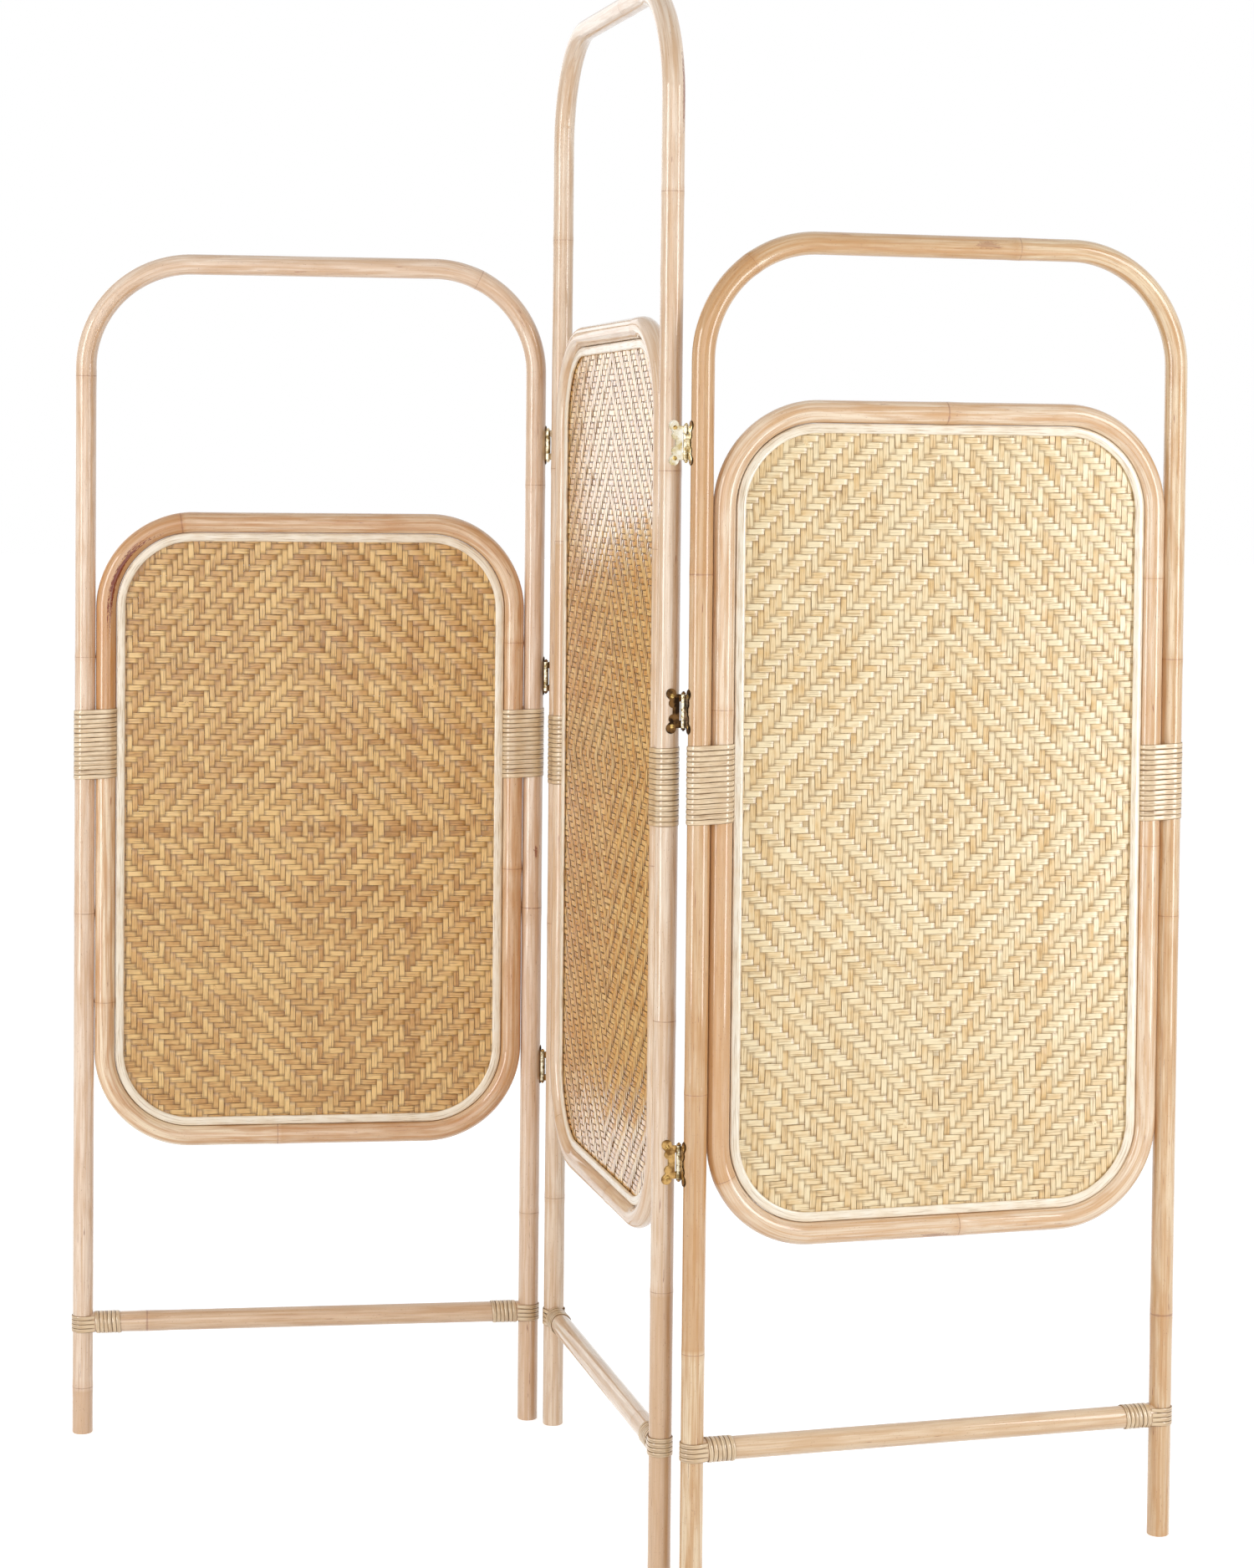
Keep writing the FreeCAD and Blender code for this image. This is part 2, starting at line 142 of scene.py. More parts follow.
# The turned bud on a pin's end, as shares of its radius and of its length
bud_profile = ((0.8, 0), (1, 0.18), (0.9, 0.42), (0.5, 0.62), (0.42, 0.72), (0.5, 0.84), (0.3, 0.96),
               (0, 1))

# Sizes that follow from those above
half_pitch = leaf_width / 2 - pole_radius
hoop_half_pitch = half_pitch - 2 * pole_radius - hoop_gap
peel_reach = pole_radius + peel_seat + peel_thickness / 2
binding_reach = pole_radius + peel_seat + peel_thickness
axis_reach = binding_reach + open_gap
axis_offset = binding_reach + fold_gap
barrel_half = middle_knuckle_length / 2 + knuckle_gap + end_knuckle_length

# A leaf's turn is in degrees. Its weave starts on one of the pattern's six strips
Leaf = collections.namedtuple(
    "Leaf", "name turn height hoop_underside hoop_top binding_heights weave_start")
leaves = {leaf.name: leaf for leaf in (
    Leaf("left_leaf", 7.4, side_leaf_height, 368 * mm, 1182 * mm, (886 * mm, 886 * mm), 0),
    Leaf("middle_leaf", -77.2, middle_leaf_height, 360 * mm, 1419 * mm, (880.5 * mm, 886 * mm), 3),
    Leaf("right_leaf", 15.7, side_leaf_height, 368 * mm, 1322 * mm, (892.5 * mm, 886 * mm), 3),
)}
LEFT_LEG, RIGHT_LEG = -1, 1

# A hinge side: which leg of which leaf it is on, and the face that the leaves fold towards
HingeSide = collections.namedtuple("HingeSide", "leaf leg face knuckles")
FRONT, BACK = -1, 1
hinge_lines = {
    "left_hinge": (HingeSide("left_leaf", RIGHT_LEG, FRONT, "middle"),
                   HingeSide("middle_leaf", LEFT_LEG, FRONT, "ends")),
    "right_hinge": (HingeSide("middle_leaf", RIGHT_LEG, BACK, "ends"),
                    HingeSide("right_leaf", LEFT_LEG, BACK, "middle")),
}
hinge_heights = {"upper": 1272 * mm, "middle": 973 * mm, "lower": 466 * mm}

# What shows at a pole's joints: a thin ring, which wanders a little, and a warm halo. Each is full up
# to its first distance and gone at its second
ring_edge = (0.9 * mm, 1.5 * mm)
ring_wander = 1.4 * mm
halo_edge = (1 * mm, 14 * mm)
pole_relief = 0.1 * mm

# The patterns in a pole's skin: the size of their patches, their detail, the noise at which they start
# and at which they are full, and their full share
pole_patterns = {
    "fibres": ((1.4 * mm, 1.4 * mm, 45 * mm), 3, 0.46, 0.66, 0.45),
    "streaks": ((1.6 * mm, 1.6 * mm, 90 * mm), 2, 0.6, 0.72, 0.22),
    "bands": ((4.5 * mm, 4.5 * mm, 170 * mm), 2, 0.45, 0.62, 0.6),
    "patches": ((9 * mm, 9 * mm, 60 * mm), 3, 0.48, 0.66, 0.5),
    "scars": ((2 * mm, 2 * mm, 30 * mm), 2, 0.71, 0.76, 0.7),
    "specks": ((1.1 * mm, 1.1 * mm, 3 * mm), 1, 0.7, 0.76, 0.4),
}

# Sizes of what shows on split cane, across and along it. The lines are drawn about three times as
# coarse as real fibres, so that they show
line_size = (1.3 * mm, 30 * mm, 1)
drift_size = (14 * mm, 20 * mm, 1)
strip_relief = 0.12 * mm

MATH = "ShaderNodeMath"
VECTOR_MATH = "ShaderNodeVectorMath"
NOISE = "ShaderNodeTexNoise"
MAP_RANGE = "ShaderNodeMapRange"
COMBINE = "ShaderNodeCombineXYZ"
SEPARATE = "ShaderNodeSeparateXYZ"
MIX = "ShaderNodeMix"
ATTRIBUTE = "ShaderNodeAttribute"
STORE = "GeometryNodeStoreNamedAttribute"
NAMED = "GeometryNodeInputNamedAttribute"
TRANSFORM = "GeometryNodeTransform"


# Colours and nodes

def colour(code):
    """A linear colour from its sRGB hex code."""
    parts = [int(code[place:place + 2], 16) / 255 for place in (1, 3, 5)]
    linear = [part / 12.92 if part <= 0.04045 else ((part + 0.055) / 1.055) ** 2.4 for part in parts]
    return (*linear, 1)


def feed(node, inputs):
    """Gives a node its inputs, in order or by name: values, outputs or nodes (their first output)."""
    for name, value in inputs.items() if isinstance(inputs, dict) else enumerate(inputs):
        if isinstance(value, bpy.types.Node):
            value = value.outputs[0]
        if isinstance(value, bpy.types.NodeSocket):
            node.id_data.links.new(value, node.inputs[name])
        else:
            node.inputs[name].default_value = value


def add_node(tree, kind, inputs=(), **settings):
    """Adds a node with its settings and its links. Below, add is this function for one tree."""
    node = tree.nodes.new(kind)
    for name, value in settings.items():
        setattr(node, name, value)
    feed(node, inputs)
    return node


def new_material(name, finish):
    """A material whose shader has some of its sockets set. Gives its add and its shader as well."""
    material = bpy.data.materials.new(name)
    material.use_nodes = True
    shader = material.node_tree.nodes["Principled BSDF"]
    feed(shader, finish)
    return material, functools.partial(add_node, material.node_tree), shader


# Materials

def rattan_pole(name, cane):
    """Rattan cane, sanded and lacquered: crisp gloss over long fibres, with a thin ring at each joint
    and one brown mark where the skin was left on."""
    material, add, shader = new_material(name, {
        "Roughness": 0.45, "Specular IOR Level": 0.3, "Coat Weight": 1, "Coat Roughness": 0.06,
        "Coat IOR": 1.6})
    grain = add(ATTRIBUTE, attribute_name="grain").outputs["Vector"]
    knuckle, tone = (add(ATTRIBUTE, attribute_name=label).outputs["Fac"]
                     for label in ("knuckle", "tone"))
    noises, shares = {}, {}
    for label, (size, detail, start, full, most) in pole_patterns.items():
        place = add(VECTOR_MATH, [grain, size], operation="DIVIDE")
        noises[label] = add(NOISE, {"Vector": place, "Scale": 1, "Detail": detail})
        shares[label] = add(MAP_RANGE, [noises[label], start, full, 0, most])
    warmth = add(MAP_RANGE, [tone, 0.25, 1, 0, 0.75])
    distance = add(MATH, [knuckle], operation="ABSOLUTE")
    wander = add(MATH, [noises["bands"], ring_wander, distance], operation="MULTIPLY_ADD")
    ring = add(MAP_RANGE, [wander, *ring_edge, 0.45, 0])
    halo = add(MAP_RANGE, [distance, *halo_edge, 0.3, 0])
    mark_centre = Vector(cane.mark_place) * mm + Vector((0, 0, cane.start))
    past_mark = add(VECTOR_MATH, [grain, mark_centre], operation="SUBTRACT")
    past_mark = add(VECTOR_MATH, [past_mark, Vector(cane.mark_size) * mm], operation="DIVIDE")
    ragged = add(VECTOR_MATH, [past_mark], operation="LENGTH").outputs["Value"]
    for label, weight in (("fibres", 1.6), ("specks", 1.2)):
        ragged = add(MATH, [noises[label], weight, ragged], operation="MULTIPLY_ADD")
    mark = add(MAP_RANGE, [ragged, 1.95, 2.15, cane.mark_share, 0])
    base = colour(cane.pale)
    for layer, layer_shares in (
            (cane.tan, (warmth, shares["bands"], shares["patches"], shares["fibres"], halo)),
            (cane_brown, (shares["streaks"], ring, shares["scars"], shares["specks"], mark))):
        for share in layer_shares:
            base = add(MIX, {0: share, 6: base, 7: colour(layer)}, data_type="RGBA").outputs[2]
    bump = add("ShaderNodeBump", {"Strength": 0.25, "Distance": pole_relief, "Height": noises["fibres"]})
    feed(shader, {"Base Color": base, "Normal": bump})
    return material


def split_cane(name, pale, tan, dark, roughness, coat, edge_start):
    """Split cane with its glossy skin: fine lengthwise fibres, with painted shade where it dives under
    and along its edges, where the gaps between strips and turns lie, and matt at the cut edge, where the
    skin ends."""
    material, add, shader = new_material(name, {"Roughness": roughness, "Coat Roughness": 0.12,
                                                "Coat IOR": 1.7})
    fibre = add(ATTRIBUTE, attribute_name="fibre").outputs["Vector"]
    tone, edge, sink = (add(ATTRIBUTE, attribute_name=label).outputs["Fac"]
                        for label in ("tone", "edge", "sink"))
    line_place, drift_place = (add(VECTOR_MATH, [fibre, size], operation="DIVIDE")
                               for size in (line_size, drift_size))
    lines = add(NOISE, {"Vector": line_place, "Scale": 1, "Detail": 3})
    drift = add(NOISE, {"Vector": drift_place, "Scale": 1, "Detail": 2})
    shade = add(MATH, [tone, 0.5], operation="MULTIPLY")
    for part, weight in ((drift, 0.55), (lines, 0.4)):
        shade = add(MATH, [part, weight, shade], operation="MULTIPLY_ADD")
    rim = add(MATH, [edge], operation="ABSOLUTE")
    uneven_rim = add(MATH, [lines, 0.3, rim], operation="MULTIPLY_ADD")
    tan_share = add(MAP_RANGE, [shade, 0.52, 0.92, 0, 1])
    line_share = add(MAP_RANGE, [lines, 0.54, 0.66, 0, 0.45])
    dark_share = add(MAP_RANGE, [shade, 0.85, 1.15, 0, 0.5])
    # Painted shade towards the end of each float, where the strip dives under the next crossing
    dive_shade_share = add(MAP_RANGE, [sink, 0.5, 1, 0, 0.4])
    # Painted shade along the edges, where the gaps between strips and between turns of peel lie
    gap_shade_share = add(MAP_RANGE, [uneven_rim, edge_start, edge_start + 0.1, 0, 0.8])
    base = add(MIX, {0: tan_share, 6: colour(pale), 7: colour(tan)}, data_type="RGBA").outputs[2]
    for share in (line_share, dark_share, dive_shade_share, gap_shade_share):
        base = add(MIX, {0: share, 6: base, 7: colour(dark)}, data_type="RGBA").outputs[2]
    skin = add(MAP_RANGE, [uneven_rim, edge_start - 0.05, edge_start + 0.05, coat, 0])
    crown = add(MATH, [rim, rim], operation="MULTIPLY")
    height = add(MATH, [crown, -1, lines], operation="MULTIPLY_ADD")
    bump = add("ShaderNodeBump", {"Strength": 0.35, "Distance": strip_relief, "Height": height})
    feed(shader, {"Base Color": base, "Coat Weight": skin, "Normal": bump})
    return material


def worn_metal(name, bright, dull, roughness, wear_size):
    """Plated metal: bright where it is rubbed, and duller and rougher in soft patches."""
    material, add, shader = new_material(name, {"Metallic": 1})
    place = add("ShaderNodeTexCoord").outputs["Object"]
    patches = add(NOISE, {"Vector": place, "Scale": 1 / wear_size, "Detail": 4})
    share = add(MAP_RANGE, [patches, 0.42, 0.6, 0, 1])
    base = add(MIX, {0: share, 6: colour(bright), 7: colour(dull)}, data_type="RGBA").outputs[2]
    rough = add(MAP_RANGE, [patches, 0.35, 0.65, roughness, roughness + 0.2])
    feed(shader, {"Base Color": base, "Roughness": rough})
    return material


# Where each pole starts on its cane sets where its joints fall and how its tone changes there. Its
# brown mark's place is out from the leaf, to the back and along the pole, and its size is half its own,
# both in millimetres
Cane = collections.namedtuple("Cane", "start pale tan mark_place mark_size mark_share")
cane_brown = "#7E2E0A"
canes = {
    ("left_leaf", "frame"): Cane(7.657, "#F1DAC3", "#D0A57A", (4, -12, 745), (4, 4, 13), 0.8),
    ("left_leaf", "hoop"): Cane(4.18, "#F8E2C2", "#C3843F", (-4.5, -12, 2212), (5, 5, 88), 1),
    ("left_leaf", "rail"): Cane(2.7, "#E9CDAE", "#C79A6C", (0, 12, 210), (4, 4, 9), 0.5),
    ("middle_leaf", "frame"): Cane(6.378, "#F0DCC5", "#CDA377", (8, 10, 1660), (4, 4, 50), 0.8),
    ("middle_leaf", "hoop"): Cane(8.4, "#EFD9BF", "#CEA273", (4, 12, 800), (4, 4, 20), 0.5),
    ("middle_leaf", "rail"): Cane(8.4, "#EFDAC0", "#CDA377", (0, 12, 300), (4, 4, 8), 0.5),
    ("right_leaf", "frame"): Cane(11.569, "#EAD2AE", "#C18A4A", (3, -12, 1681), (7, 7, 18), 0.35),
    ("right_leaf", "hoop"): Cane(6.25, "#F1DDC2", "#CB9558", (9, -9, 722), (5, 5, 28), 0.5),
    ("right_leaf", "rail"): Cane(1.5, "#EED6B6", "#CFA678", (0, 12, 400), (4, 4, 7), 0.5),
}

# The left panel is golden and half matt, the middle one is redder and has the sheen of its skin, and
# the right one is the palest. The beads are cream and nearly even, the peel is pale with painted shade
# at its edges, between its turns
weave_materials = {
    "left_leaf": split_cane("golden_woven_cane", "#EEC680", "#C48D42", "#6E4A20", 0.42, 0.5, 1.0),
    "middle_leaf": split_cane("satin_woven_cane", "#FFD48A", "#E09C48", "#4E331A", 0.25, 1.0, 0.94),
    "right_leaf": split_cane("pale_woven_cane", "#F1DEB4", "#DCB26E", "#8A6636", 0.42, 0.5, 1.02),
}
bead_material = split_cane("split_cane_bead", "#F5EAD6", "#E6CFAB", "#A07B4C", 0.4, 0.8, 1.2)
peel_material = split_cane("rattan_peel", "#E8CFA8", "#C39C6C", "#6F4E2A", 0.4, 1.0, 0.97)

# The hinges are one brass in three copies by height: the upper ones near white with painted glare, the
# middle ones nearly black with painted shade, and the lower ones between. Their barrels are silvery,
# their rims dark and their screws yellow. Joints have grey ones
metal_materials = {
    "upper": worn_metal("bright_brass", "#FCF7E8", "#D2BC84", 0.12, 14 * mm),
    "middle": worn_metal("dark_brass", "#7A5834", "#2E2015", 0.3, 8 * mm),
    "lower": worn_metal("aged_brass", "#C09A60", "#7A5830", 0.25, 8 * mm),
}
rim_metal = worn_metal("tarnished_rim", "#4A3820", "#1C150D", 0.3, 4 * mm)
barrel_material = worn_metal("nickel_barrel", "#CFC6AE", "#7F6B45", 0.15, 5 * mm)
screw_brass = worn_metal("screw_brass", "#DDBB74", "#7E5D2C", 0.25, 2 * mm)
screw_steel = worn_metal("screw_steel", "#B9BBBD", "#85878A", 0.3, 3 * mm)


# Geometry node trees

def new_tree(name, counts, measures):
    """A tree with its named whole and decimal inputs. Gives its add and its inputs."""
    tree = bpy.data.node_groups.new(name, "GeometryNodeTree")
    for kind, labels in (("Geometry", "Geometry"), ("Material", "Material"), ("Int", counts),
                         ("Float", measures)):
        for label in labels.split(", "):
            tree.interface.new_socket(label, in_out="INPUT", socket_type="NodeSocket" + kind)
    tree.interface.new_socket("Geometry", in_out="OUTPUT", socket_type="NodeSocketGeometry")
    add = functools.partial(add_node, tree)
    return add, add("NodeGroupInput").outputs


def end_tree(add, geometry, given):
    """Ends a tree in plain geometry with its material, and gives the tree."""
    whole = add("GeometryNodeRealizeInstances", [geometry])
    coated = add("GeometryNodeSetMaterial", {"Geometry": whole, "Material": given["Material"]})
    return add("NodeGroupOutput", [coated]).id_data


def bent_path(add, given):
    """The drawn path as a curve with rounded corners."""
    path = add("GeometryNodeMeshToCurve", [given["Geometry"]])
    return add("GeometryNodeFilletCurve",
               {"Curve": path, "Radius": given["Bend radius"], "Limit Radius": True,
                "Count": given["Bend steps"]}, mode="POLY")


def pole_tree():
    """A path becomes a round pole, a little swollen at its joints."""
    add, given = new_tree("bent_pole", "Bend steps, Sides",
                          "Bend radius, Radius, Step, Joint spacing, Joint swell, Joint length, Start")
    even = add("GeometryNodeResampleCurve", {"Curve": bent_path(add, given), "Length": given["Step"]},
               mode="LENGTH")
    length = add("GeometryNodeSplineParameter").outputs["Length"]
    started = add(MATH, [length, given["Start"]], operation="ADD")

    # The distance to the nearest joint. The spacing sways, as it does on a grown cane
    counted = add(MATH, [started, given["Joint spacing"]], operation="DIVIDE")
    sway = add(MATH, [add(MATH, [counted, joint_sway_rate], operation="MULTIPLY")], operation="SINE")
    uneven = add(MATH, [sway, joint_sway, counted], operation="MULTIPLY_ADD")
    centred = add(MATH, [add(MATH, [uneven], operation="FRACT"), 0.5], operation="SUBTRACT")
    knuckle = add(MATH, [centred, given["Joint spacing"]], operation="MULTIPLY")
    past_joint = add(MATH, [add(MATH, [uneven, 0.5], operation="ADD")], operation="FLOOR")
    tone = add("FunctionNodeRandomValue", {"ID": past_joint}).outputs[1]
    share = add(MATH, [knuckle, given["Joint length"]], operation="DIVIDE")
    square = add(MATH, [share, share], operation="MULTIPLY")
    fall = add(MATH, [add(MATH, [square, -1], operation="MULTIPLY")], operation="EXPONENT")
    radius = add(MATH, [fall, given["Joint swell"], given["Radius"]], operation="MULTIPLY_ADD")

    # The pole, with what its material reads: its tone, the distance to its joint, and its grain
    marked = even
    for label, value in (("along", started), ("knuckle", knuckle), ("tone", tone)):
        marked = add(STORE, {"Geometry": marked, "Name": label, "Value": value})
    circle = add("GeometryNodeCurvePrimitiveCircle", {"Resolution": given["Sides"], "Radius": 1})
    position = add("GeometryNodeInputPosition")
    profile = add(STORE, {"Geometry": circle, "Name": "around", "Value": position},
                  data_type="FLOAT_VECTOR")
    tube = add("GeometryNodeCurveToMesh",
               {"Curve": marked, "Profile Curve": profile, "Scale": radius, "Fill Caps": True})
    around = add(NAMED, {"Name": "around"}, data_type="FLOAT_VECTOR")
    lengthwise = add(COMBINE, {"Z": add(NAMED, {"Name": "along"})})
    grain = add(VECTOR_MATH, [around, (pole_radius, pole_radius, 0), lengthwise],
                operation="MULTIPLY_ADD")
    grained = add(STORE, {"Geometry": tube, "Name": "grain", "Value": grain}, data_type="FLOAT_VECTOR")
    return end_tree(add, grained, given)


def weave_tree():
    """Strips side by side, each passing over and under three others in a pattern of diamonds."""
    add, given = new_tree(
        "woven_strips", "Strips, Crossings, Seed",
        "Pitch, Width, Thickness, Lift, Start, Side, Half length, Half breadth, Corner radius, Turn, "
        "Palest, Darkest")

    # Boxes half a unit wide, one unit apart, with two rings of corners at each crossing
    rings = add(MATH, [given["Crossings"], 2], operation="MULTIPLY")
    ring_span = add(MATH, [rings, 1], operation="SUBTRACT")
    size = add(COMBINE, [0.5, ring_span, 0.5])
    strip = add("GeometryNodeMeshCube",
                {"Size": size, "Vertices X": 2, "Vertices Y": rings, "Vertices Z": 2})
    last = add(MATH, [given["Strips"], 1], operation="SUBTRACT")
    start = add(COMBINE, [add(MATH, [last, -0.5], operation="MULTIPLY")])
    row = add("GeometryNodeMeshLine",
              {"Count": given["Strips"], "Start Location": start, "Offset": (1, 0, 0)})
    placed = add("GeometryNodeInstanceOnPoints", {"Points": row, "Instance": strip})
    chance = add("FunctionNodeRandomValue",
                 {2: given["Palest"], 3: given["Darkest"], "Seed": given["Seed"]}).outputs[1]
    toned = add(STORE, {"Geometry": placed, "Name": "tone", "Value": chance}, domain="INSTANCE")
    whole = add("GeometryNodeRealizeInstances", [toned])

    # Which strip and which crossing a corner belongs to, counted from the middle
    raw = add(SEPARATE, [add("GeometryNodeInputPosition")]).outputs
    number = add(MATH, [raw["X"]], operation="ROUND")
    past_number = add(MATH, [raw["X"], number], operation="SUBTRACT")
    edge = add(MATH, [past_number, 4], operation="MULTIPLY")
    ring = add(MATH, [ring_span, 0.5, raw["Y"]], operation="MULTIPLY_ADD")
    half_ring = add(MATH, [ring, 0.5, 0.25], operation="MULTIPLY_ADD")
    pair = add(MATH, [half_ring], operation="FLOOR")
    ring_in_pair = add(MATH, [pair, -2, ring], operation="MULTIPLY_ADD")
    past_crossing = add(MATH, [ring_in_pair, 0.5], operation="SUBTRACT")
    middle = add(MATH, [given["Crossings"], -0.5, 0.5], operation="MULTIPLY_ADD")
    crossing = add(MATH, [pair, middle], operation="ADD")
    crossings_along = add(MATH, [past_crossing, crossing_share, crossing], operation="MULTIPLY_ADD")

    # Over or under: three and three by the distance from the middle, with the middle itself swapped.
    # A strip sinks towards the end of each float, where its next crossing lies on the other side
    column = add(MATH, [number], operation="ABSOLUTE")
    beyond = add(MATH, [past_crossing, 2, crossing], operation="MULTIPLY_ADD")
    dome = 0
    for spot, weight in ((crossing, 0.8), (beyond, 0.2)):
        diamond = add(MATH, [add(MATH, [spot], operation="ABSOLUTE"), column], operation="ADD")
        started = add(MATH, [diamond, given["Start"]], operation="ADD")
        step = add(MATH, [started, 2 * strips_over], operation="MODULO")
        over = add(MATH, [step, strips_over - 0.5], operation="LESS_THAN")
        heart = add(MATH, [diamond, 0.5], operation="LESS_THAN")
        swapped = add(MATH, [add(MATH, [over, heart], operation="SUBTRACT")], operation="ABSOLUTE")
        signed = add(MATH, [swapped, 2, -1], operation="MULTIPLY_ADD")
        dome = add(MATH, [signed, weight, dome], operation="MULTIPLY_ADD")
    way = add(MATH, [dome, given["Side"]], operation="MULTIPLY")
    # This rises towards the end of each float, where the material paints shade as the strip dives under
    sink = add(MAP_RANGE, [add(MATH, [dome], operation="ABSOLUTE"), 0.6, 1, 1, 0])

    # The corner's place across the strips, with their sway and their own breadth and tilt
    along = add(MATH, [crossings_along, given["Pitch"]], operation="MULTIPLY")
    strip_place = add(COMBINE, [number, along, given["Side"]])
    sway_place, own_place = (add(VECTOR_MATH, [strip_place, rates], operation="MULTIPLY")
                             for rates in (sway_rates, own_rates))
    sway = add(NOISE, {"Vector": sway_place, "Scale": 1, "Detail": 1})
    chances = add(NOISE, {"Vector": own_place, "Scale": 1, "Detail": 1}).outputs["Color"]
    own = add(SEPARATE, [chances]).outputs
    across = add(MATH, [number, given["Pitch"], -strip_sway / 2], operation="MULTIPLY_ADD")
    across = add(MATH, [sway, strip_sway, across], operation="MULTIPLY_ADD")
    half_width = add(MATH, [given["Width"], 0.5], operation="MULTIPLY")
    narrowing = add(MAP_RANGE, [own["X"], 0.3, 0.7, 1, least_breadth])
    breadth = add(MATH, [edge, half_width], operation="MULTIPLY")
    across = add(MATH, [breadth, narrowing, across], operation="MULTIPLY_ADD")
    tilt = add(MAP_RANGE, [own["Y"], 0.3, 0.7, -strip_tilt, strip_tilt])
    tilt = add(MATH, [tilt, edge], operation="MULTIPLY")

    # The strips' ends are cut off at the rounded outline, and lie flat there
    radius = given["Corner radius"]
    straight_breadth = add(MATH, [given["Half breadth"], radius], operation="SUBTRACT")
    straight_length = add(MATH, [given["Half length"], radius], operation="SUBTRACT")
    reach = add(MATH, [across], operation="ABSOLUTE")
    into_corner = add(MATH, [reach, straight_breadth], operation="SUBTRACT")
    into_corner = add(MATH, [into_corner, 0], operation="MAXIMUM")
    radius_square = add(MATH, [radius, radius], operation="MULTIPLY")
    corner_square = add(MATH, [into_corner, into_corner], operation="MULTIPLY")
    room = add(MATH, [radius_square, corner_square], operation="SUBTRACT")
    limit = add(MATH, [straight_length, add(MATH, [room], operation="SQRT")], operation="ADD")
    low_limit = add(MATH, [limit, -1], operation="MULTIPLY")
    cut = add("ShaderNodeClamp", [along, low_limit, limit])
    inside = add(MATH, [add(MATH, [along], operation="ABSOLUTE"), limit], operation="LESS_THAN")
    lift = add(MATH, [way, given["Lift"]], operation="MULTIPLY")
    lift = add(MATH, [lift, inside], operation="MULTIPLY")
    face = add(MATH, [raw["Z"], 2], operation="MULTIPLY")
    height = add(MATH, [face, given["Thickness"], lift], operation="MULTIPLY_ADD")
    height = add(MATH, [tilt, inside, height], operation="MULTIPLY_ADD")
    place = add(COMBINE, [across, cut, height])

    # Each strip has its own place in the pattern of fibres
    fibre = add(COMBINE, [breadth, along, add(MATH, [number, own_rates[0]], operation="MULTIPLY")])
    marked = add(STORE, {"Geometry": whole, "Name": "fibre", "Value": fibre}, data_type="FLOAT_VECTOR")
    for label, value in (("edge", edge), ("sink", sink)):
        marked = add(STORE, {"Geometry": marked, "Name": label, "Value": value})
    woven = add("GeometryNodeSetPosition", {"Geometry": marked, "Position": place})
    merged = add("GeometryNodeMergeByDistance", {"Geometry": woven, "Distance": merge_distance})
    smooth = add("GeometryNodeSetShadeSmooth", {"Geometry": merged, "Shade Smooth": True})
    sharp = add(MATH, [add("GeometryNodeInputMeshEdgeAngle"), crease_angle], operation="GREATER_THAN")
    creased = add("GeometryNodeSetShadeSmooth",
                  {"Geometry": smooth, "Selection": sharp, "Shade Smooth": False}, domain="EDGE")
    turn = add(COMBINE, {"Z": given["Turn"]})
    return end_tree(add, add(TRANSFORM, {"Geometry": creased, "Rotation": turn}), given)


def strip_section(add, given, sides, squareness):
    """A flat oval section, its width along Y and its thickness along X, that knows its edges."""
    circle = add("GeometryNodeCurvePrimitiveCircle", {"Resolution": sides, "Radius": 1})
    position = add("GeometryNodeInputPosition")
    size = add(VECTOR_MATH, [position], operation="ABSOLUTE")
    fuller = add(VECTOR_MATH, [size, (squareness,) * 3], operation="POWER")
    signed = add(VECTOR_MATH, [fuller, add(VECTOR_MATH, [position], operation="SIGN")],
                 operation="MULTIPLY")
    extent = add(COMBINE, [given["Thickness"], given["Width"]])
    half_extent = add(VECTOR_MATH, [extent, (0.5, 0.5, 0)], operation="MULTIPLY")
    place = add(VECTOR_MATH, [signed, half_extent], operation="MULTIPLY")
    edge = add(SEPARATE, [signed]).outputs["Y"]
    edged = add(STORE, {"Geometry": circle, "Name": "edge", "Value": edge})
    return add("GeometryNodeSetPosition", {"Geometry": edged, "Position": place})


def swept_strip(add, curve, section, given):
    """Sweeps a strip's section along a curve, and stores what its material reads."""
    length = add("GeometryNodeSplineParameter").outputs["Length"]
    marked = add(STORE, {"Geometry": curve, "Name": "along", "Value": length})
    swept = add("GeometryNodeCurveToMesh",
                {"Curve": marked, "Profile Curve": section, "Fill Caps": True})
    along, edge = (add(NAMED, {"Name": label}) for label in ("along", "edge"))
    half_width = add(MATH, [given["Width"], 0.5], operation="MULTIPLY")
    breadth = add(MATH, [edge, half_width], operation="MULTIPLY")
    fibre = add(COMBINE, [breadth, along, given["Tone"]])
    fibred = add(STORE, {"Geometry": swept, "Name": "fibre", "Value": fibre}, data_type="FLOAT_VECTOR")
    return add(STORE, {"Geometry": fibred, "Name": "tone", "Value": given["Tone"]})


def strip_tree(name, lies_flat):
    """A path becomes a strip whose width stands up along Z, or lies flat in the path's plane."""
    add, given = new_tree(name, "Bend steps", "Bend radius, Step, Width, Thickness, Tone")
    even = add("GeometryNodeResampleCurve", {"Curve": bent_path(add, given), "Length": given["Step"]},
               mode="LENGTH")
    level = add("GeometryNodeSetCurveNormal", [even], mode="Z_UP")
    section = strip_section(add, given, sides=20, squareness=0.75)
    if lies_flat:
        section = add(TRANSFORM, {"Geometry": section, "Rotation": (0, 0, math.pi / 2)})
    return end_tree(add, swept_strip(add, level, section, given), given)


